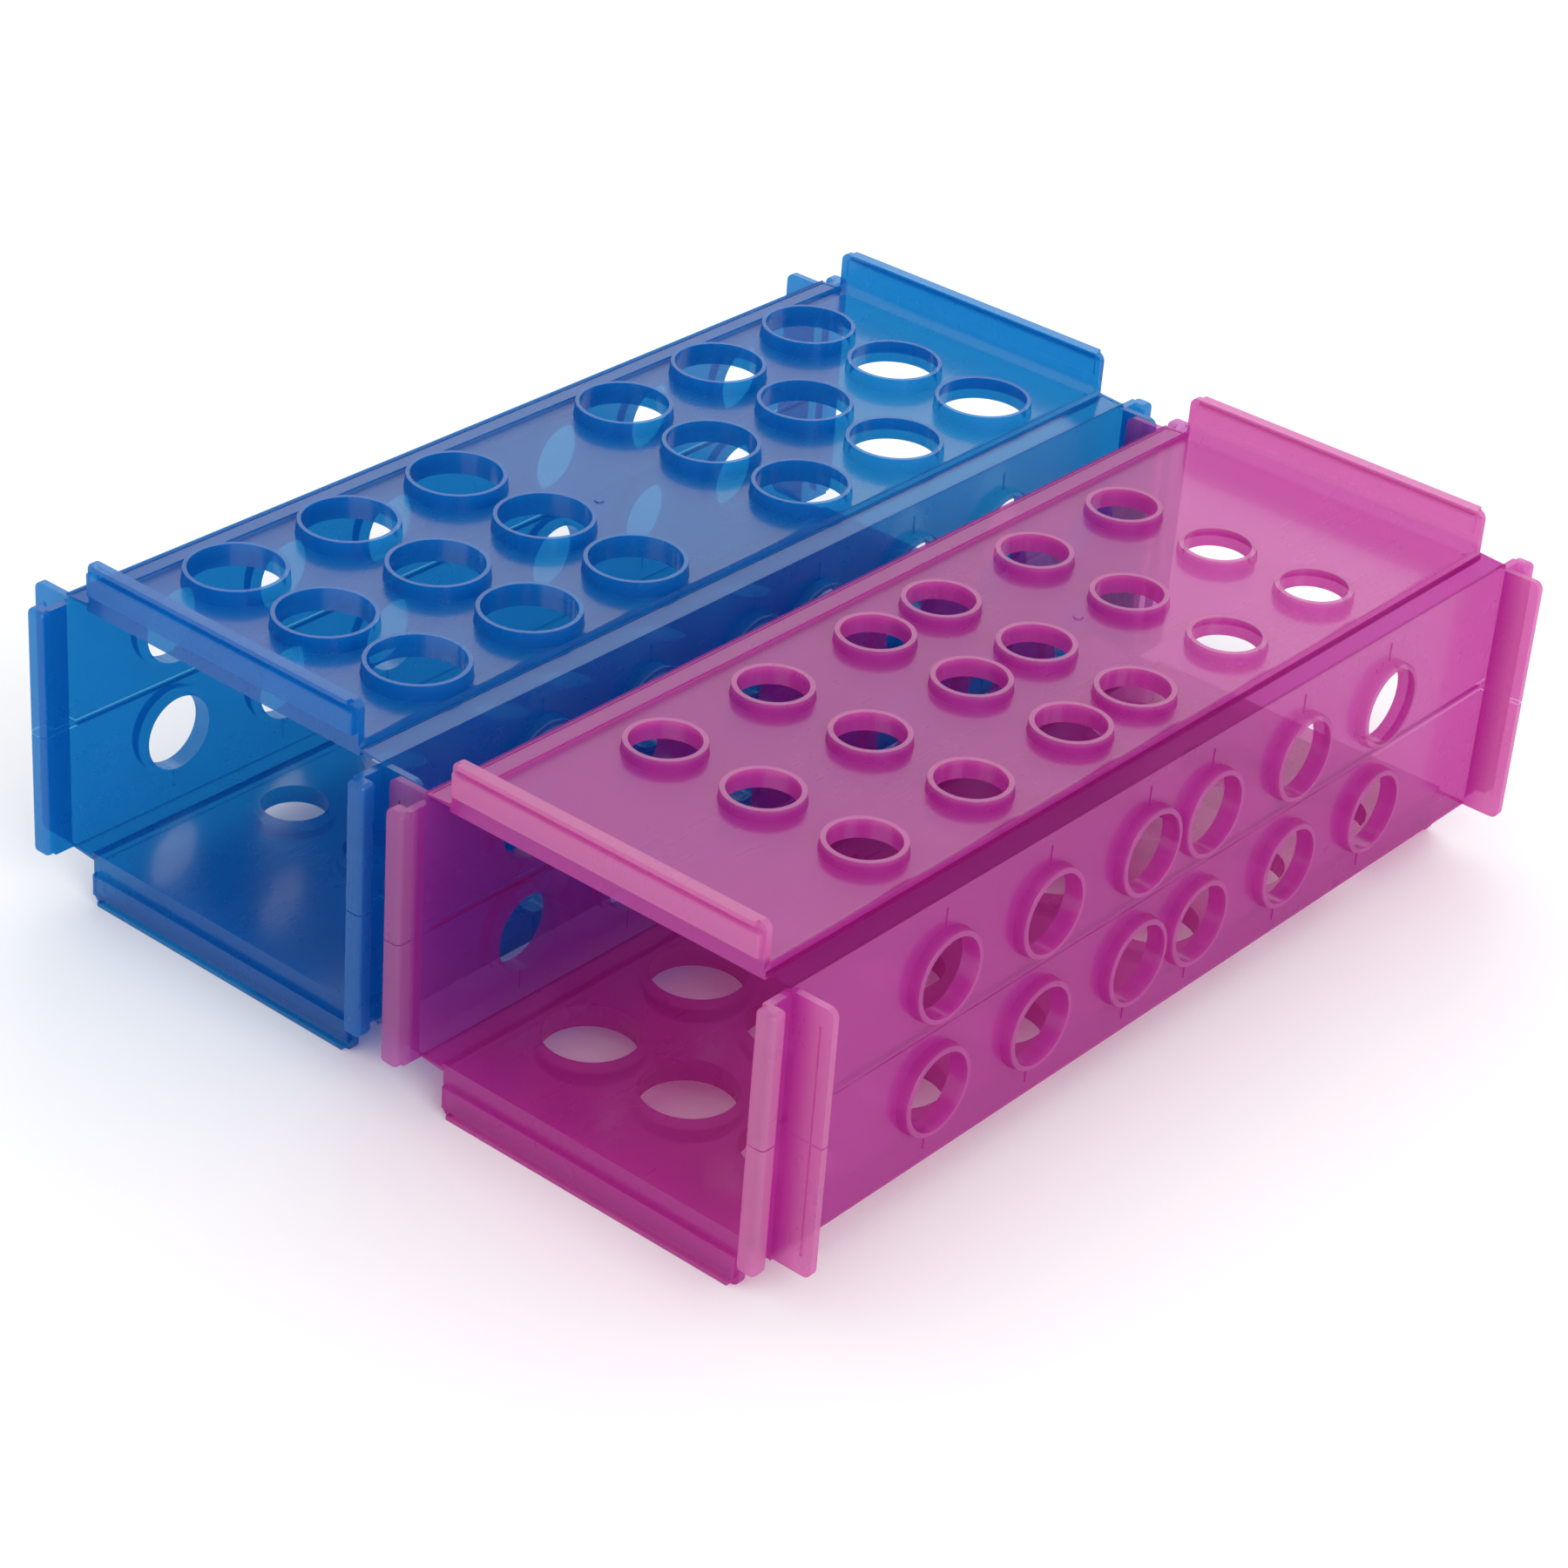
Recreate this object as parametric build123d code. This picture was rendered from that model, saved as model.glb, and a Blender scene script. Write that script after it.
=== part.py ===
from build123d import *
import os

# A pair of fold-flat test tube racks standing side by side, end flanges overlapped.
# Frame: X across the racks, Y along their length, Z up from the bench. Units are mm.

rack_width = 115.0        # outside of one side wall to the outside of the other
wall_height = 77.0        # under face of the bottom panel to upper face of the top panel
foot_height = 12.5        # end flanges stand this far beyond the top and bottom panels
panel_thickness = 2.2
half_length = 150.5       # outer face of the end flanges
flange_thickness = 2.0
flange_half_width = 49.0  # top and bottom end flanges stop short of the corners
rail_height = 6.5
rail_proud = 1.8
rail_start = 3.2          # from the panel face to the near side of the rail

strip_width = 8.0         # thin hinge strip along each long corner
strip_thickness = 1.0
miter_gap = 0.2           # each side of the corner fold line
fold_groove = 3.0         # width of the groove along the mid-height fold
web_thickness = 0.6
fold_gap = 0.15           # each side of the mid-height fold line

side_plate_reach = 12.2   # side end flanges, outward from the wall
side_plate_end = 1.2      # kept clear of the top and bottom panels
bar_length = 10.5         # link bar beyond the side end flange
bar_width = 5.0
bar_end = 2.0

hole_pitch = 40.4         # along Y, within a group of three
small_bore, small_outer, small_collar = 18.5, 22.3, 3.1
large_bore, large_outer, large_collar = 25.4, 28.8, 4.3
side_bore, side_outer, side_collar = 21.5, 25.4, 3.2
small_pitch_x, large_pitch_x = 31.6, 33.0
side_pitch_z = 32.8
collar_draft = 0.5        # collar radius lost from base to rim

rack_spacing = 132.0      # centre line to centre line
offset_y = 2.4            # the racks are out of step by a flange thickness and clearance

total_height = wall_height + 2 * foot_height
z_bottom = foot_height
z_top = foot_height + wall_height
z_mid = total_height / 2
half_width = rack_width / 2

inner_rows = [s * (hole_pitch / 2 - 6.7 + k * hole_pitch) for s in (-1, 1) for k in range(3)]
outer_rows = [s * (hole_pitch - 6.7 + k * hole_pitch) for s in (-1, 1) for k in range(3)]


def box(x0, x1, y0, y1, z0, z1):
    return Pos((x0 + x1) / 2, (y0 + y1) / 2, (z0 + z1) / 2) * Box(x1 - x0, y1 - y0, z1 - z0)


def drilled(plate, spots, bore, outer, collar, place):
    # a raised collar round every hole; place(a, b) puts local Z along the outward normal
    for a, b in spots:
        plate += place(a, b) * (Pos(0, 0, collar / 2) * Cone(outer / 2, outer / 2 - collar_draft, collar))
    for a, b in spots:
        plate -= place(a, b) * Cylinder(bore / 2, 4 * panel_thickness + 2 * collar)
    return plate


def flat_panel(kind, up):
    # top panel made at z = 0 (outer face) with its outside towards +Z; flipped for the bottom
    edge = half_width - strip_width
    plate = box(-edge, edge, -half_length, half_length, -panel_thickness, 0)
    for s in (-1, 1):
        ya, yb = sorted((s * half_length, s * (half_length - flange_thickness)))
        wall = box(-flange_half_width, flange_half_width, ya, yb, -0.5, foot_height)
        upper = wall.edges().filter_by(Axis.Y).sort_by(Axis.Z)[-2:]
        plate += fillet(upper, 2.5)
        ya, yb = sorted((s * half_length, s * (half_length + rail_proud)))
        rail = box(-flange_half_width + 1, flange_half_width - 1, ya, yb, rail_start, rail_start + rail_height)
        plate += chamfer(rail.edges().filter_by(Axis.X).sort_by(Axis.Y)[::s][-2:], 0.6)
        # concave root where the flange leaves the panel
        root = box(-flange_half_width, flange_half_width, *sorted((s * (half_length - flange_thickness - 3), s * (half_length - 1))), -0.5, 3)
        root -= Pos(0, s * (half_length - flange_thickness - 3), 3) * Rot(0, 90, 0) * Cylinder(3, 2 * rack_width)
        plate += root
    if kind == "small":
        spots = [(i * small_pitch_x, y) for i in (-1, 0, 1) for y in inner_rows]
        plate = drilled(plate, spots, small_bore, small_outer, small_collar, lambda a, b: Pos(a, b, 0))
    else:
        spots = [(i * large_pitch_x, y) for i in (-1, 0, 1) for y in outer_rows]
        plate = drilled(plate, spots, large_bore, large_outer, large_collar, lambda a, b: Pos(a, b, 0))
    return Pos(0, 0, z_top) * plate if up else Pos(0, 0, z_bottom) * Rot(180, 0, 0) * plate


def corner_strip(side, up):
    # thin strip between the panel and the corner fold line, cut at 45 degrees inside
    z_face, d = (z_top, -1) if up else (z_bottom, 1)
    with BuildPart() as strip:
        with BuildSketch(Plane.XZ.offset(half_length)) as s:
            inner = half_width - strip_width
            pts = [(inner, z_face), (half_width - miter_gap, z_face),
                   (half_width - miter_gap - strip_thickness, z_face + d * strip_thickness),
                   (inner, z_face + d * strip_thickness)]
            Polygon(*[(side * x, z) for x, z in pts], align=None)
        extrude(amount=-2 * half_length)
    return strip.part


def half_wall(side, up, rows):
    # upper or lower half of a side wall, with its half of the end flanges and link bars
    d = 1 if up else -1
    z_edge = z_top if up else z_bottom
    z_fold = z_mid + d * fold_gap
    z_groove = z_mid + d * fold_groove / 2
    inner = half_width - panel_thickness
    with BuildPart() as plate:
        with BuildSketch(Plane.XZ.offset(half_length)) as s:
            pts = [(half_width, z_groove), (half_width, z_edge - d * miter_gap),
                   (inner, z_edge - d * (miter_gap + panel_thickness)), (inner, z_groove)]
            Polygon(*[(side * x, z) for x, z in pts], align=None)
        extrude(amount=-2 * half_length)
    wall = plate.part
    if up:
        # its share of the fold web, up to the fold line
        wall += box(*sorted((side * inner, side * (inner + web_thickness))), -half_length, half_length, *sorted((z_fold, z_groove)))
    for e in (-1, 1):
        ya, yb = sorted((e * half_length, e * (half_length - flange_thickness)))
        za, zb = sorted((z_fold, z_edge - d * side_plate_end))
        fin = box(*sorted((side * (half_width - 1), side * (half_width + side_plate_reach))), ya, yb, za, zb)
        tip = fin.edges().filter_by(Axis.Y).sort_by(lambda q: side * q.center().X * 1000 + d * q.center().Z)[-1]
        wall += fillet(tip, 5)
        za, zb = sorted((z_fold, z_edge - d * bar_end))
        neck = box(*sorted((side * inner, side * half_width)), *sorted((e * (half_length - 1), e * (half_length + bar_length - bar_width / 2))), za, zb)
        bar = box(*sorted((side * inner, side * (inner + bar_width))), *sorted((e * (half_length + bar_length - bar_width), e * (half_length + bar_length))), za, zb)
        bar = fillet(bar.edges().filter_by(Axis.Z), 0.8)
        bar = chamfer(bar.faces().sort_by(Axis.Z)[-1 if up else 0].edges(), 0.5)
        wall += neck + bar
    z_row = z_mid + d * side_pitch_z / 2
    wall = drilled(wall, [(y, z_row) for y in rows], side_bore, side_outer, side_collar,
                   lambda a, b: Pos(side * half_width, a, b) * Rot(0, side * 90, 0))
    return wall


def fold_web(side):
    # thin web of the mid-height fold, from the lower half wall to the fold line
    inner = half_width - panel_thickness
    end = half_length - 1
    return box(*sorted((side * inner, side * (inner + web_thickness))), -end, end, z_mid - fold_groove / 2, z_mid - fold_gap)


os.makedirs("parts", exist_ok=True)
total = 0
for rack, x_rack, y_rack, top_kind, bottom_kind in (
        ("blue", -rack_spacing / 2, offset_y / 2, "large", "small"),
        ("magenta", rack_spacing / 2, -offset_y / 2, "small", "large")):
    nodes = {
        "bottom_panel": flat_panel(bottom_kind, False),
        "bottom_left_strip": corner_strip(-1, False),
        "bottom_right_strip": corner_strip(1, False),
        "right_lower_wall": half_wall(1, False, inner_rows),
        "right_fold_web": fold_web(1),
        "right_upper_wall": half_wall(1, True, inner_rows),
        "left_lower_wall": half_wall(-1, False, outer_rows),
        "left_fold_web": fold_web(-1),
        "left_upper_wall": half_wall(-1, True, outer_rows),
        "top_panel": flat_panel(top_kind, True),
        "top_left_strip": corner_strip(-1, True),
        "top_right_strip": corner_strip(1, True),
    }
    for name, shape in nodes.items():
        shape = Pos(x_rack, y_rack, 0) * shape
        solids = shape.solids()
        assert len(solids) == 1, (rack, name, len(solids))
        export_step(solids[0], f"parts/{rack}_{name}.step")
        total += solids[0].volume
        print(rack, name, round(solids[0].volume / 1000, 2), "cm3", solids[0].bounding_box())
print("total", round(total / 1000, 1), "cm3")
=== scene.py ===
import math
import bmesh
import bpy
from mathutils import Matrix, Vector


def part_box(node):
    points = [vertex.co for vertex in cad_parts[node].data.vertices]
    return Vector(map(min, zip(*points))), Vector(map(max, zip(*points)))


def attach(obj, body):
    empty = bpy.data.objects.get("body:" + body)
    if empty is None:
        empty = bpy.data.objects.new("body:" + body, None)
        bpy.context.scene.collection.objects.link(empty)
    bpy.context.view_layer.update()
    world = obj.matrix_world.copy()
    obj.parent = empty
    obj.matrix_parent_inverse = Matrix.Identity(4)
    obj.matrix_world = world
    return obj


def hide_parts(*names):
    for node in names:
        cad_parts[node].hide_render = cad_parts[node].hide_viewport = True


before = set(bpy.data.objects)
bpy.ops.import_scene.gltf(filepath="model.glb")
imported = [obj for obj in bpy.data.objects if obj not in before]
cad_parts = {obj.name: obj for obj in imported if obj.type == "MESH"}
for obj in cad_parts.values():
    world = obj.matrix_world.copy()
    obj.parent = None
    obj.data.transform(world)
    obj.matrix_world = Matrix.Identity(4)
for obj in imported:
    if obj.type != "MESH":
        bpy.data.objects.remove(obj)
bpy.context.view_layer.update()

mm = 0.001
tiny = 0.02  # mm, for telling places apart
racks = ("blue", "magenta")
smoothing = {
    "smoothAngle": 24,  # degrees, below which a surface is shaded smooth
    "easeAngle": 32,  # degrees, above which a corner is rounded over
    "roundSides": 64,  # sides of each round plug
}


# Handling pieces. Every size below is in mm, and is turned to metres here.

def clearAll():
    current = bpy.context.object
    if current and current.mode != "OBJECT":
        bpy.ops.object.mode_set(mode="OBJECT")
    bpy.ops.object.select_all(action="DESELECT")


def take(piece):
    clearAll()
    piece.select_set(True)
    bpy.context.view_layer.objects.active = piece


def applyPlace(piece):
    take(piece)
    bpy.ops.object.transform_apply(location=True, rotation=True, scale=True)


def copyOf(pattern):
    piece = pattern.copy()
    piece.data = pattern.data.copy()
    bpy.context.collection.objects.link(piece)
    return piece


def block(name, low, high):
    clearAll()
    centre = [(a + b) / 2 * mm for a, b in zip(low, high)]
    size = [(b - a) * mm for a, b in zip(low, high)]
    bpy.ops.mesh.primitive_cube_add(size=1, location=centre, scale=size)
    piece = bpy.context.object
    piece.name = name
    applyPlace(piece)
    return piece


def pick(piece, faces=None, edges=None):
    # faces and edges are chosen by their place and normal, given in mm
    take(piece)
    bpy.ops.object.mode_set(mode="EDIT")
    bpy.ops.mesh.select_mode(type="FACE" if faces else "EDGE")
    bpy.ops.mesh.select_all(action="DESELECT")
    mesh = bmesh.from_edit_mesh(piece.data)
    if faces:
        for face in mesh.faces:
            face.select_set(bool(faces(face.calc_center_median() / mm, face.normal)))
    else:
        for edge in mesh.edges:
            edge.select_set(bool(edges(*(v.co / mm for v in edge.verts))))
    bmesh.update_edit_mesh(piece.data)


def sliceAt(piece, axis, places, faces):
    # new edges across the chosen faces, one line for each place along the axis
    for place in places:
        pick(piece, faces=faces)
        point, normal = [0, 0, 0], [0, 0, 0]
        point[axis], normal[axis] = place * mm, 1
        bpy.ops.mesh.bisect(plane_co=point, plane_no=normal)


def pull(piece, faces, move):
    pick(piece, faces=faces)
    bpy.ops.mesh.extrude_region_move(TRANSFORM_OT_translate={"value": [m * mm for m in move]})


def shift(piece, edges, move):
    pick(piece, edges=edges)
    bpy.ops.transform.translate(value=[m * mm for m in move])


def roundOver(piece, edges, radius, steps):
    pick(piece, edges=edges)
    bpy.ops.mesh.bevel(offset=radius * mm, segments=steps, affect="EDGES")


def both(test):
    return lambda a, b: test(a) and test(b)


def near(a, b):
    return abs(a - b) < tiny


def within(value, span):
    return span[0] < value < span[1]


def combine(piece, other, operation):
    take(piece)
    step = piece.modifiers.new("join", "BOOLEAN")
    step.operation, step.object, step.solver = operation, other, "EXACT"
    bpy.ops.object.modifier_apply(modifier=step.name)
    bpy.data.objects.remove(other, do_unlink=True)


def repeated(piece, spots):
    # copies of a piece at the given moves, joined as one object
    made = []
    for spot in spots:
        copy = copyOf(piece)
        copy.location = [s * mm for s in spot]
        made.append(copy)
    bpy.data.objects.remove(piece, do_unlink=True)
    take(made[0])
    for copy in made:
        copy.select_set(True)
    bpy.ops.object.join()
    joined = bpy.context.object
    applyPlace(joined)
    return joined


def placed(pattern, name, move, flip):
    # a pattern's copy in its own place, turned over by a negative scale
    piece = copyOf(pattern)
    piece.name = piece.data.name = name
    piece.location = [m * mm for m in move]
    piece.scale = flip
    applyPlace(piece)
    bpy.ops.object.mode_set(mode="EDIT")
    bpy.ops.mesh.select_all(action="SELECT")
    bpy.ops.mesh.normals_make_consistent(inside=False)
    bpy.ops.object.mode_set(mode="OBJECT")
    bpy.ops.object.shade_smooth_by_angle(angle=math.radians(smoothing["smoothAngle"]))
    even = piece.modifiers.new("even", "WEIGHTED_NORMAL")
    even.keep_sharp = True
    bpy.ops.object.modifier_apply(modifier=even.name)
    return piece


def soften(piece, radius):
    # the small rounding that a mould leaves on every corner
    take(piece)
    ease = piece.modifiers.new("ease", "BEVEL")
    ease.width, ease.segments = radius * mm, 2
    ease.limit_method, ease.angle_limit = "ANGLE", math.radians(smoothing["easeAngle"])
    ease.use_clamp_overlap = True
    bpy.ops.object.modifier_apply(modifier=ease.name)


def discs(name, radiusLow, radiusHigh, low, high, spots, axis="Z", rim=0):
    # round plugs along Z or X, joined as one object
    clearAll()
    bpy.ops.mesh.primitive_cone_add(vertices=smoothing["roundSides"], radius1=radiusLow * mm, radius2=radiusHigh * mm,
                                    depth=(high - low) * mm, location=(0, 0, (low + high) / 2 * mm))
    plug = bpy.context.object
    plug.name = name
    applyPlace(plug)
    if rim:
        roundOver(plug, both(lambda p: near(p.z, high)), rim, 3)
    if axis == "X":
        take(plug)
        plug.rotation_euler = (0, math.radians(90), 0)
        applyPlace(plug)
    return repeated(plug, spots)


# The camera and the light come first, so that every render is framed alike.

view = {
    "aim": (0.00471, -0.01001, 0.03185),
    "azimuth": 38.247,
    "elevation": 30.706,
    "roll": 4.585,
    "distance": 1.086222,
    "lens": 92.55, "sensor": 36,
    "nearest": 0.05, "farthest": 50,
}


def setCamera():
    az, el, roll = (math.radians(view[k]) for k in ("azimuth", "elevation", "roll"))
    back = Vector((math.sin(az) * math.cos(el), -math.cos(az) * math.cos(el), math.sin(el)))
    right = (-back).cross(Vector((0, 0, 1))).normalized()
    up = right.cross(-back)
    across = math.cos(roll) * right + math.sin(roll) * up
    upward = -math.sin(roll) * right + math.cos(roll) * up
    camera = bpy.data.objects.new("camera", bpy.data.cameras.new("camera"))
    bpy.context.collection.objects.link(camera)
    camera.data.lens, camera.data.sensor_width = view["lens"], view["sensor"]
    camera.data.clip_start, camera.data.clip_end = view["nearest"], view["farthest"]
    frameTurn = Matrix((across, upward, back)).transposed().to_4x4()
    camera.matrix_world = Matrix.Translation(Vector(view["aim"]) + back * view["distance"]) @ frameTurn
    bpy.context.scene.camera = camera


light = {
    "sky": 1.0,
    "key": {"place": (-0.85, 1.08, 0.95), "size": 1.1, "power": 5},
    "fill": {"place": (1.5, -0.6, 0.9), "size": 1.2, "power": 14},
    "aim": (0, 0, 0.05),
    "throughLayers": 32,  # clear layers that a ray may cross
}


def softBox(name):
    box = light[name]
    lamp = bpy.data.objects.new(name, bpy.data.lights.new(name, "AREA"))
    bpy.context.collection.objects.link(lamp)
    lamp.data.shape, lamp.data.size, lamp.data.energy = "SQUARE", box["size"], box["power"]
    lamp.location = box["place"]
    lamp.rotation_euler = (Vector(box["place"]) - Vector(light["aim"])).to_track_quat("Z", "Y").to_euler()


def setLight():
    world = bpy.data.worlds.new("studio")
    bpy.context.scene.world = world
    world.use_nodes = True
    world.node_tree.nodes["Background"].inputs[0].default_value = (1, 1, 1, 1)
    world.node_tree.nodes["Background"].inputs[1].default_value = light["sky"]
    softBox("key")
    softBox("fill")
    bpy.context.scene.view_settings.view_transform = "Standard"
    bpy.context.scene.cycles.transparent_max_bounces = light["throughLayers"]


setCamera()
setLight()
print("camera and light ready")


# Materials

class Wire:
    # a socket that adds its Math nodes as it is used in an expression
    def __init__(self, maker, socket):
        self.maker, self.socket = maker, socket

    def math(self, operation, first, second):
        return self.maker.node("ShaderNodeMath", {"operation": operation}, {0: first, 1: second})

    def __add__(self, other): return self.math("ADD", self, other)
    def __radd__(self, other): return self.math("ADD", other, self)
    def __sub__(self, other): return self.math("SUBTRACT", self, other)
    def __rsub__(self, other): return self.math("SUBTRACT", other, self)
    def __mul__(self, other): return self.math("MULTIPLY", self, other)
    def __rmul__(self, other): return self.math("MULTIPLY", other, self)
    def __abs__(self): return self.math("ABSOLUTE", self, 0)
    def most(self, other): return self.math("MAXIMUM", self, other)


class Maker:
    def __init__(self, name):
        self.material = bpy.data.materials.new(name)
        self.material.use_nodes = True
        self.tree = self.material.node_tree
        self.tree.nodes.clear()

    def node(self, kind, settings, values, output=0):
        # settings first, then the values or wires of the sockets
        node = self.tree.nodes.new(kind)
        for key, value in settings.items():
            setattr(node, key, value)
        for key, value in values.items():
            if isinstance(value, Wire):
                self.tree.links.new(value.socket, node.inputs[key])
            else:
                node.inputs[key].default_value = value
        return Wire(self, node.outputs[output]) if len(node.outputs) else None

    def axis(self, place, key):
        return self.node("ShaderNodeSeparateXYZ", {}, {0: place}, key)

    def noise(self, place, pattern):
        return self.node("ShaderNodeTexNoise", {"noise_dimensions": "3D"}, {"Vector": place, **pattern}, "Fac")

    def blend(self, amount, first, second):
        return self.node("ShaderNodeMix", {"data_type": "RGBA"}, {0: amount, 6: first, 7: second}, 2)


# One entry for each plastic. The strips are thinner than the panels. magentaShadedWall is as thick as any other wall,
# and its darker, clearer copy of the magenta plastic, a guess, is painted shade for the magenta left wall, which
# stands in the rack's shade and is lit through the blue rack.
# In each entry, edge is a paler tone painted on the fins, end bars and the parts above the top panel, as painted
# backlight where they stand against the white backdrop.
looks = {
    "magenta": {
        "deep": (0.45, 0.030, 0.40), "pale": (0.54, 0.075, 0.47), "edge": (0.74, 0.34, 0.60),
        "through": (0.76, 0.07, 0.63), "clear": (0.86, 0.45, 0.68),
        "rough": 0.30, "glow": 0.42, "seeThrough": 0.54, "specular": 1.0, "coat": 0.6,
    },
    # painted shade: a darker, clearer copy of the magenta plastic for the magenta left wall
    "magentaShadedWall": {
        "deep": (0.41, 0.030, 0.37), "pale": (0.50, 0.075, 0.44), "edge": (0.72, 0.32, 0.60),
        "through": (0.70, 0.07, 0.58), "clear": (0.81, 0.50, 0.77),
        "rough": 0.30, "glow": 0.42, "seeThrough": 0.69, "specular": 1.0, "coat": 0.6,
    },
    # thin hinge plastic, clearer than the panels; its darker tone and weak reflection are painted shade for the
    # right-hand strips, which face away from the light; it also goes on the fold webs
    "magentaStrip": {
        "deep": (0.30, 0.006, 0.26), "pale": (0.36, 0.012, 0.31), "edge": (0.38, 0.014, 0.34),
        "through": (0.45, 0.01, 0.38), "clear": (0.86, 0.38, 0.72),
        "rough": 0.30, "glow": 0.40, "seeThrough": 0.68, "specular": 0.15, "coat": 0.0,
    },
    "blue": {
        "deep": (0.001, 0.125, 0.38), "pale": (0.004, 0.175, 0.46), "edge": (0.002, 0.21, 0.54),
        "through": (0.002, 0.22, 0.66), "clear": (0.18, 0.65, 0.89),
        "rough": 0.28, "glow": 0.42, "seeThrough": 0.50, "specular": 1.0, "coat": 0.6,
    },
    # thin hinge plastic, glossier than the blue panels; its slightly darker tone is painted shade for the right-hand
    # strips, which face away from the light; it also goes on the fold webs
    "blueStrip": {
        "deep": (0.001, 0.125, 0.38), "pale": (0.003, 0.165, 0.45), "edge": (0.002, 0.18, 0.48),
        "through": (0.002, 0.21, 0.64), "clear": (0.18, 0.65, 0.89),
        "rough": 0.14, "glow": 0.42, "seeThrough": 0.46, "specular": 0.8, "coat": 0.4,
    },
}
backlitZone = {  # painted backlight: where the fins, end bars and the parts above the top panel get the paler edge tone, in metres from the middle of a rack
    "centre": 0.066, "side": 0.0592, "sideShare": 0.35,
    "middle": 0.051, "level": 0.0402, "end": 0.1562, "blend": 500.0,
}
moulding = {  # noise patterns in the plastic, with scales per metre
    "flow": {"Scale": 14.0, "Detail": 3.0, "Roughness": 0.5, "Distortion": 0.6},
    "cloud": {"Scale": 95.0, "Detail": 4.0, "Roughness": 0.6},
    "grain": {"Scale": 1500.0, "Detail": 2.0, "Roughness": 0.5},
    "drawn": {"Scale": 1.0, "Detail": 2.0, "Roughness": 0.6},
    "drawnTurn": (0.0, 0.0, 0.5), "drawnScale": (260.0, 14.0, 90.0),
    "flowShare": 0.8, "cloudShare": 0.2,
    "flowGloss": 0.22, "cloudGloss": 0.08, "drawnGloss": 0.10,
    "flowHeight": 3.0, "drawnHeight": 0.7, "bump": 0.12, "bumpDeep": 0.0002,
    "index": 1.55, "coatRough": 0.12,
}


def mouldedPlastic(name, look):
    make = Maker(name)
    m = moulding
    place = make.node("ShaderNodeTexCoord", {}, {}, "Object")
    flow, cloud, grain = (make.noise(place, m[k]) for k in ("flow", "cloud", "grain"))
    along = make.node("ShaderNodeMapping", {"vector_type": "POINT"},
                      {"Vector": place, "Rotation": m["drawnTurn"], "Scale": m["drawnScale"]})
    drawn = make.noise(along, m["drawn"])
    # painted backlight: a mask that rises to 1 on the fins, the end bars and whatever stands above the top panel
    # (flanges, collar rims), and blends those parts to the paler edge tone
    side = abs(abs(make.axis(place, 0)) - backlitZone["centre"]) - backlitZone["side"]
    level = make.axis(place, 2) - backlitZone["middle"] - backlitZone["level"]
    end = abs(make.axis(place, 1)) - backlitZone["end"]
    edge = make.node("ShaderNodeClamp", {}, {0: (side * backlitZone["sideShare"]).most(level).most(end) * backlitZone["blend"]})
    tone = make.blend(flow * m["flowShare"] + cloud * m["cloudShare"], (*look["deep"], 1), (*look["pale"], 1))
    tone = make.blend(edge, tone, (*look["edge"], 1))
    height = grain + flow * m["flowHeight"] + drawn * m["drawnHeight"]
    relief = make.node("ShaderNodeBump", {}, {"Strength": m["bump"], "Distance": m["bumpDeep"], "Height": height})
    gloss = look["rough"] + (flow - 0.5) * m["flowGloss"] + (cloud - 0.5) * m["cloudGloss"]
    gloss = gloss + (drawn - 0.5) * m["drawnGloss"]
    face = make.node("ShaderNodeBsdfPrincipled", {}, {
        "Base Color": tone, "Roughness": gloss, "IOR": m["index"], "Specular IOR Level": look["specular"],
        "Coat Weight": look["coat"], "Coat Roughness": m["coatRough"], "Normal": relief})
    inside = make.node("ShaderNodeBsdfTranslucent", {}, {"Color": (*look["through"], 1)})
    solid = make.node("ShaderNodeMixShader", {}, {0: look["glow"], 1: face, 2: inside})
    film = make.node("ShaderNodeBsdfTransparent", {}, {"Color": (*look["clear"], 1)})
    whole = make.node("ShaderNodeMixShader", {}, {0: look["seeThrough"], 1: solid, 2: film})
    make.node("ShaderNodeOutputMaterial", {}, {"Surface": whole})
    return make.material


ground = {"size": 60, "tone": (0.92, 0.92, 0.92), "rough": 0.7, "mottle": 0.1, "noise": {"Scale": 3.0, "Detail": 2.0}}


def floorPaint():
    make = Maker("floorPaint")
    mottle = make.noise(make.node("ShaderNodeTexCoord", {}, {}, "Object"), ground["noise"])
    gloss = ground["rough"] + mottle * ground["mottle"]
    paint = make.node("ShaderNodeBsdfPrincipled", {}, {"Base Color": (*ground["tone"], 1), "Roughness": gloss})
    make.node("ShaderNodeOutputMaterial", {}, {"Surface": paint})
    return make.material


plastics = {name: mouldedPlastic(name, look) for name, look in looks.items()}
print("materials ready")


# Panels. The outer face is at z = 0, with the outside towards +Z.

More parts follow.
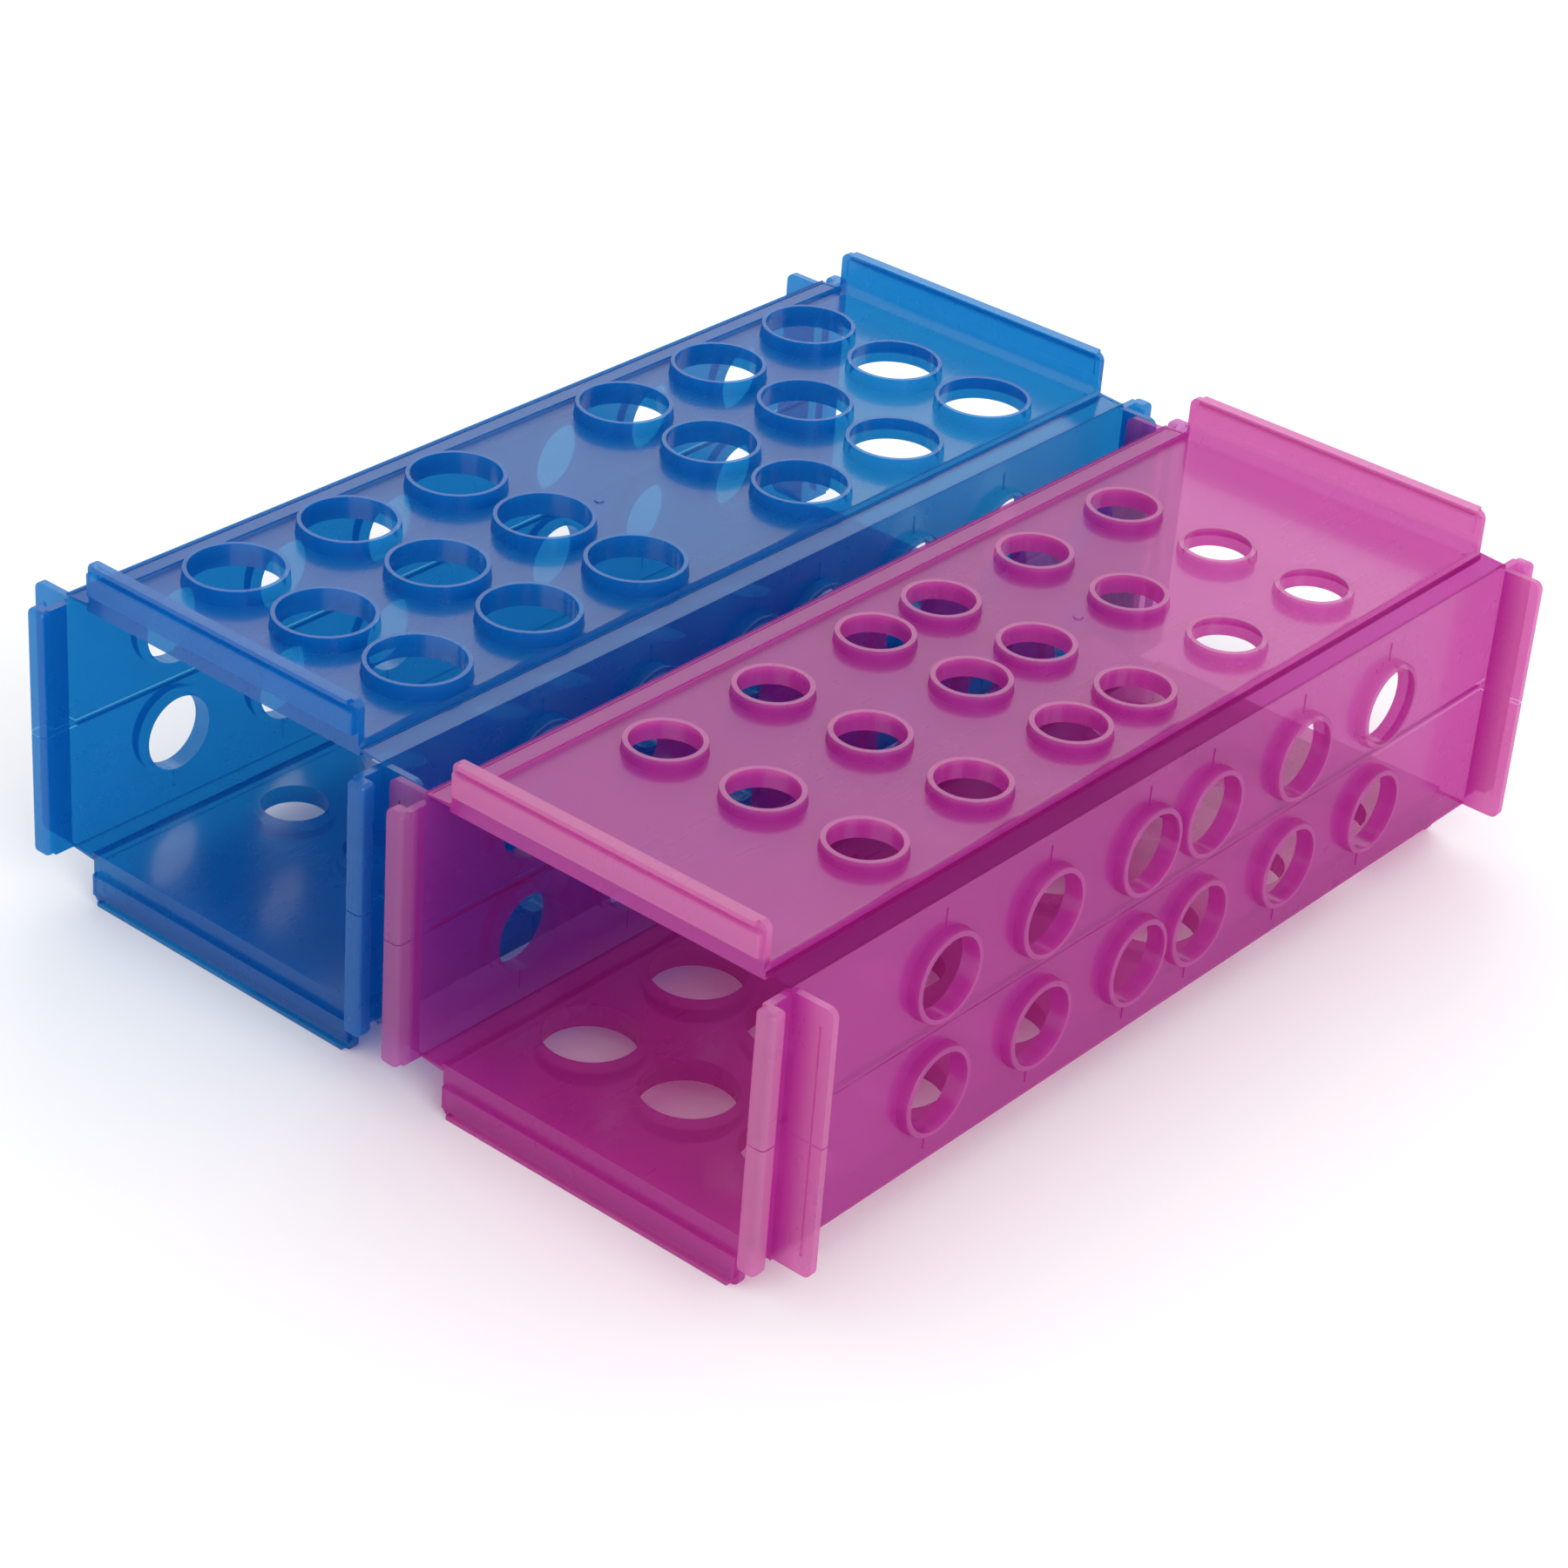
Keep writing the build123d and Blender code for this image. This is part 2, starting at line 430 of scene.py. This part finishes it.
panel = {
    "halfWidth": 49.5, "halfLength": 150.5, "thick": 2.2,
    "flangeHalf": 49.0, "flangeThick": 2.0, "flangeTall": 12.5, "flangeCorner": 2.5, "root": 3.0,
    "railHalf": 48.0, "railLow": 3.2, "railHigh": 9.7, "railProud": 1.8, "railRound": 0.6,
    "lipLow": 11.2, "lipHalf": 46.3, "lipProud": 1.5,
    "inset": (5.6, 10.4), "insetHalf": 47.0, "insetDeep": 0.45,
    "slot": (10.9, 11.5), "slotDeep": 1.1,
    "gateRadius": 1.6, "gateTall": 0.35, "gateTaper": 0.3, "gateRoot": 0.5,
    "gate": {"small": (-4, 37, 0), "large": (-1.5, -10.4, 0)},
    "ease": 0.28,
}
holes = {
    "small": {"bore": 9.25, "outer": 11.15, "collar": 3.1, "across": 31.6},
    "large": {"bore": 12.7, "outer": 14.4, "collar": 4.3, "across": 33.0},
    "side": {"bore": 10.75, "outer": 12.7, "collar": 3.2},
    "draft": 0.5, "rim": 0.45, "root": 1, "drill": 8,
    "pitch": 40.4, "shift": 6.7,
}
rowsInner = [s * (holes["pitch"] / 2 - holes["shift"] + k * holes["pitch"]) for s in (-1, 1) for k in range(3)]
rowsOuter = [s * (holes["pitch"] - holes["shift"] + k * holes["pitch"]) for s in (-1, 1) for k in range(3)]


def collared(piece, kind, spots, axis):
    hole = holes[kind]
    plugs = discs("plugs", hole["outer"], hole["outer"] - holes["draft"], -holes["root"], hole["collar"], spots, axis,
                  holes["rim"])
    combine(piece, plugs, "UNION")
    bores = discs("bores", hole["bore"], hole["bore"], -holes["drill"], holes["drill"], spots, axis)
    combine(piece, bores, "DIFFERENCE")


def makePanel(kind, rows):
    p = panel
    end, inside = p["halfLength"], p["halfLength"] - p["flangeThick"]
    top, flangeHalf = p["flangeTall"], p["flangeHalf"]
    piece = block("panel", (-p["halfWidth"], -end, -p["thick"]), (p["halfWidth"], end, 0))
    sliceAt(piece, 1, (-inside, inside), lambda c, n: True)
    sliceAt(piece, 0, (-flangeHalf, flangeHalf), lambda c, n: True)
    pull(piece, lambda c, n: n.z > 0.9 and abs(c.y) > inside and abs(c.x) < flangeHalf - tiny, (0, 0, top))
    roundOver(piece, lambda a, b: near(a.z, top) and near(b.z, top) and near(abs(a.x), flangeHalf) and near(a.x, b.x),
              p["flangeCorner"], 5)
    for s in (-1, 1):
        # the rail and the lip on a flange's outer face, and the shallow band on its inner face
        front = lambda c, n: n.y * s > 0.9 and c.z > -tiny and near(c.y * s, end)
        back = lambda c, n: n.y * s < -0.9 and c.z > tiny and near(c.y * s, inside)
        rail, railFace = (p["railLow"], p["railHigh"]), end + p["railProud"]
        sliceAt(piece, 2, (*rail, p["lipLow"]), front)
        sliceAt(piece, 0, (-p["railHalf"], p["railHalf"], -p["lipHalf"], p["lipHalf"]), front)
        pull(piece, lambda c, n: front(c, n) and within(c.z, rail) and abs(c.x) < p["railHalf"],
             (0, s * p["railProud"], 0))
        roundOver(piece, both(lambda q: near(q.y * s, railFace) and (near(q.z, rail[0]) or near(q.z, rail[1]))),
                  p["railRound"], 3)
        pull(piece, lambda c, n: front(c, n) and c.z > p["lipLow"] and abs(c.x) < p["lipHalf"],
             (0, s * p["lipProud"], 0))
        sliceAt(piece, 2, p["inset"], back)
        sliceAt(piece, 0, (-p["insetHalf"], p["insetHalf"]), back)
        pull(piece, lambda c, n: back(c, n) and within(c.z, p["inset"]) and abs(c.x) < p["insetHalf"],
             (0, s * p["insetDeep"], 0))
    roundOver(piece, both(lambda q: near(q.z, 0) and near(abs(q.y), inside) and abs(q.x) < flangeHalf + tiny),
              p["root"], 5)
    across = holes[kind]["across"]
    collared(piece, kind, [(i * across, y, 0) for i in (-1, 0, 1) for y in rows], "Z")
    gateTip = p["gateRadius"] - p["gateTaper"]
    gate = discs("gate", p["gateRadius"], gateTip, -p["gateRoot"], p["gateTall"], [p["gate"][kind]])
    combine(piece, gate, "UNION")
    soften(piece, p["ease"])
    for s in (-1, 1):
        # a fine slot under the free edge of each flange, cut after the rounding
        back = lambda c, n: n.y * s < -0.9 and c.z > tiny and near(c.y * s, inside)
        sliceAt(piece, 2, p["slot"], back)
        sliceAt(piece, 0, (-p["lipHalf"], p["lipHalf"]), back)
        pull(piece, lambda c, n: back(c, n) and within(c.z, p["slot"]) and abs(c.x) < p["lipHalf"],
             (0, s * p["slotDeep"], 0))
    clearAll()
    return piece


# Side walls. The pattern is the right wall's upper half, with z measured from the fold.

wall = {
    "outer": 57.5, "thick": 2.2, "halfLength": 150.5, "top": 38.5, "mitre": 0.2,
    "below": -3.0,  # the pattern runs past the fold, and each half is cut there
    "upperCut": 0.03, "lowerCut": 0.35, "hollow": 0.8,
    "overlap": 1,
    "seam": (28.9, 34.5), "seamWide": 0.35, "seamProud": 0.3, "seamSunk": 0.3, "seamFade": 0.24,
    "finReach": 12.2, "finThick": 2.0, "finTop": 1.2, "finCorner": 2.4,
    "finLine": (65.9, 66.6), "finLineSpan": (-2, 32), "finLineDeep": 0.5,
    "barLong": 10.5, "barWide": 5.8, "barDeep": 5.2, "barTop": 2.0, "barRound": 1.5,
    "row": 16.4, "ease": 0.28,
}


def makeFin(s):
    # the end flange that turns outwards, with a fine line down its outer face
    w = wall
    ya, yb = sorted((s * w["halfLength"], s * (w["halfLength"] - w["finThick"])))
    reach, top = w["outer"] + w["finReach"], w["top"] - w["finTop"]
    fin = block("fin", (w["outer"] - w["overlap"], ya, w["below"]), (reach, yb, top))
    roundOver(fin, both(lambda q: near(q.x, reach) and near(q.z, top)), w["finCorner"], 6)
    front = lambda c, n: n.y * s > 0.9
    sliceAt(fin, 0, w["finLine"], front)
    sliceAt(fin, 2, w["finLineSpan"], front)
    pull(fin, lambda c, n: front(c, n) and within(c.x, w["finLine"]) and within(c.z, w["finLineSpan"]),
         (0, -s * w["finLineDeep"], 0))
    return fin


def makeWall(rows):
    w = wall
    inner, end, low = w["outer"] - w["thick"], w["halfLength"], w["below"]
    edge, barTop = w["top"] - w["mitre"], w["top"] - w["barTop"]
    piece = block("wall", (inner, -end, low), (w["outer"], end, edge))
    shift(piece, both(lambda q: near(q.x, inner) and near(q.z, edge)), (0, 0, -w["thick"]))
    for s in (-1, 1):
        combine(piece, makeFin(s), "UNION")
        ya, yb = sorted((s * (end - w["overlap"]), s * (end + w["barLong"] - w["barWide"] / 2)))
        combine(piece, block("neck", (inner, ya, low), (w["outer"], yb, barTop)), "UNION")
        ya, yb = sorted((s * (end + w["barLong"] - w["barDeep"]), s * (end + w["barLong"])))
        bar = block("bar", (inner, ya, low), (inner + w["barWide"], yb, barTop))
        roundOver(bar, lambda a, b: max(a.z, b.z) > low + w["overlap"], w["barRound"], 5)
        combine(piece, bar, "UNION")
    collared(piece, "side", [(w["outer"], y, w["row"]) for y in rows], "X")
    soften(piece, w["ease"])
    seamLow, seamHigh = w["seam"]
    seam = block("seam", (w["outer"] - w["seamSunk"], -w["seamWide"] / 2, seamLow),
                 (w["outer"] + w["seamProud"], w["seamWide"] / 2, seamHigh))
    shift(seam, both(lambda q: near(q.z, seamHigh) and q.x > w["outer"]), (-w["seamFade"], 0, 0))
    combine(piece, repeated(seam, [(0, y, 0) for y in rows]), "UNION")
    return piece


def trimmed(pattern, height):
    # a half wall ends square at the fold, rounded only on its outer side. The cut is left without a face there.
    piece = copyOf(pattern)
    pick(piece, faces=lambda c, n: True)
    bpy.ops.mesh.bisect(plane_co=(0, 0, height * mm), plane_no=(0, 0, 1), clear_inner=True, use_fill=True)
    reach = wall["halfLength"] - wall["finThick"] + tiny
    roundOver(piece, both(lambda q: near(q.x, wall["outer"]) and near(q.z, height) and abs(q.y) < reach),
              wall["hollow"], 5)
    clearAll()
    return piece


web = {"wide": 1.2, "short": 1, "bevel": 0.15, "round": 0.06, "level": -0.1}


def makeWeb():
    inner, length = wall["outer"] - wall["thick"], wall["halfLength"] - web["short"]
    outer = inner + web["wide"]
    piece = block("web", (inner, -length, -wall["lowerCut"]), (outer, length, -wall["upperCut"] / 2))
    shift(piece, both(lambda q: near(q.x, outer) and q.z > web["level"]), (-web["bevel"], 0, 0))
    roundOver(piece, both(lambda q: near(q.x, outer) and q.z < web["level"]), web["round"], 2)
    clearAll()
    return piece


# Hinge strips. The outer face is at z = 0 and falls a little towards the fold line.

strip = {
    "wide": 8.0, "outer": 57.48, "thick": 1.0, "halfLength": 150.5,
    "sunk": 0.2, "border": 0.9, "nose": 0.2, "fall": 0.6, "ease": 0.12,
}


def makeStrip():
    s = strip
    inner, outer, long = wall["outer"] - s["wide"], s["outer"], s["halfLength"]
    across, length = (inner + s["border"], outer - s["border"]), long - s["border"]
    piece = block("strip", (inner, -long, -s["thick"]), (outer, long, 0))
    shift(piece, both(lambda q: near(q.x, outer) and near(q.z, -s["thick"])), (-s["thick"], 0, 0))
    shift(piece, both(lambda q: near(q.x, outer) and near(q.z, 0)), (0, 0, -s["fall"]))
    roundOver(piece, both(lambda q: near(q.x, outer) and near(q.z, -s["fall"])), s["nose"], 3)
    top = lambda c, n: n.z > 0.95
    sliceAt(piece, 0, across, top)
    sliceAt(piece, 1, (-length, length), top)
    pull(piece, lambda c, n: top(c, n) and within(c.x, across) and abs(c.y) < length, (0, 0, -s["sunk"]))
    soften(piece, s["ease"])
    return piece


panels = {"small": makePanel("small", rowsInner), "large": makePanel("large", rowsOuter)}
print("panels ready")
whole = {"right": makeWall(rowsInner), "left": makeWall(rowsOuter)}
cuts = {"upper": wall["upperCut"], "lower": wall["lowerCut"]}
walls = {(hand, level): trimmed(pattern, cut) for hand, pattern in whole.items() for level, cut in cuts.items()}
print("walls ready")
webPattern, stripPattern = makeWeb(), makeStrip()
print("webs and strips ready")


# Each rack goes in the CAD's own place, and each piece rides on its node's body.

def rackPlace(rack):
    topLow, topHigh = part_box(f"{rack}_top_panel")
    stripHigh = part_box(f"{rack}_top_right_strip")[1]
    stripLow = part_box(f"{rack}_bottom_right_strip")[0]
    return ((topLow[0] + topHigh[0]) / 2 / mm, (topLow[1] + topHigh[1]) / 2 / mm, stripLow[2] / mm, stripHigh[2] / mm)


def fit(piece, node, body, plastic):
    piece.data.materials.clear()
    piece.data.materials.append(plastics[plastic])
    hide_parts(node)
    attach(piece, body)


kinds = {"blue": {"top": "large", "bottom": "small"}, "magenta": {"top": "small", "bottom": "large"}}
wallPlastic = {("magenta", "left"): "magentaShadedWall"}  # the magenta left wall takes the darker shaded copy, as painted shade; every other wall has its rack's own plastic
for rack in racks:
    x, y, low, high = rackPlace(rack)
    middle = (low + high) / 2
    for level, height, flip in (("top", high, 1), ("bottom", low, -1)):
        body = f"{rack}_top" if level == "top" else f"{rack}_base"
        node = f"{rack}_{level}_panel"
        piece = placed(panels[kinds[rack][level]], f"{node}_moulding", (x, y, height), (1, 1, flip))
        fit(piece, node, body, rack)
        for hand, side in (("left", -1), ("right", 1)):
            node = f"{rack}_{level}_{hand}_strip"
            piece = placed(stripPattern, f"{node}_hinge", (x, y, height), (side, 1, flip))
            # the right-hand strips take the darker hinge plastic as painted shade for the side turned from the light;
            # the left-hand strips keep the rack's plastic
            fit(piece, node, body, rack + "Strip" if hand == "right" else rack)
    for hand, side in (("left", -1), ("right", 1)):
        for level, flip in (("upper", 1), ("lower", -1)):
            node = f"{rack}_{hand}_{level}_wall"
            piece = placed(walls[hand, level], f"{node}_moulding", (x, y, middle), (side, 1, flip))
            fit(piece, node, f"{rack}_{hand}_{level}", wallPlastic.get((rack, hand), rack))
        node = f"{rack}_{hand}_fold_web"
        piece = placed(webPattern, f"{node}_film", (x, y, middle), (side, 1, 1))
        # the fold webs take the same darker hinge plastic, with its painted shade
        fit(piece, node, f"{rack}_{hand}_lower", rack + "Strip")
    print(rack, "rack in place")

for pattern in (*panels.values(), *whole.values(), *walls.values(), webPattern, stripPattern):
    bpy.data.objects.remove(pattern, do_unlink=True)

clearAll()
bpy.ops.mesh.primitive_plane_add(size=ground["size"], location=(0, 0, 0))
floor = bpy.context.object
floor.name = "floor"
floor.data.materials.append(floorPaint())
print("floor ready")
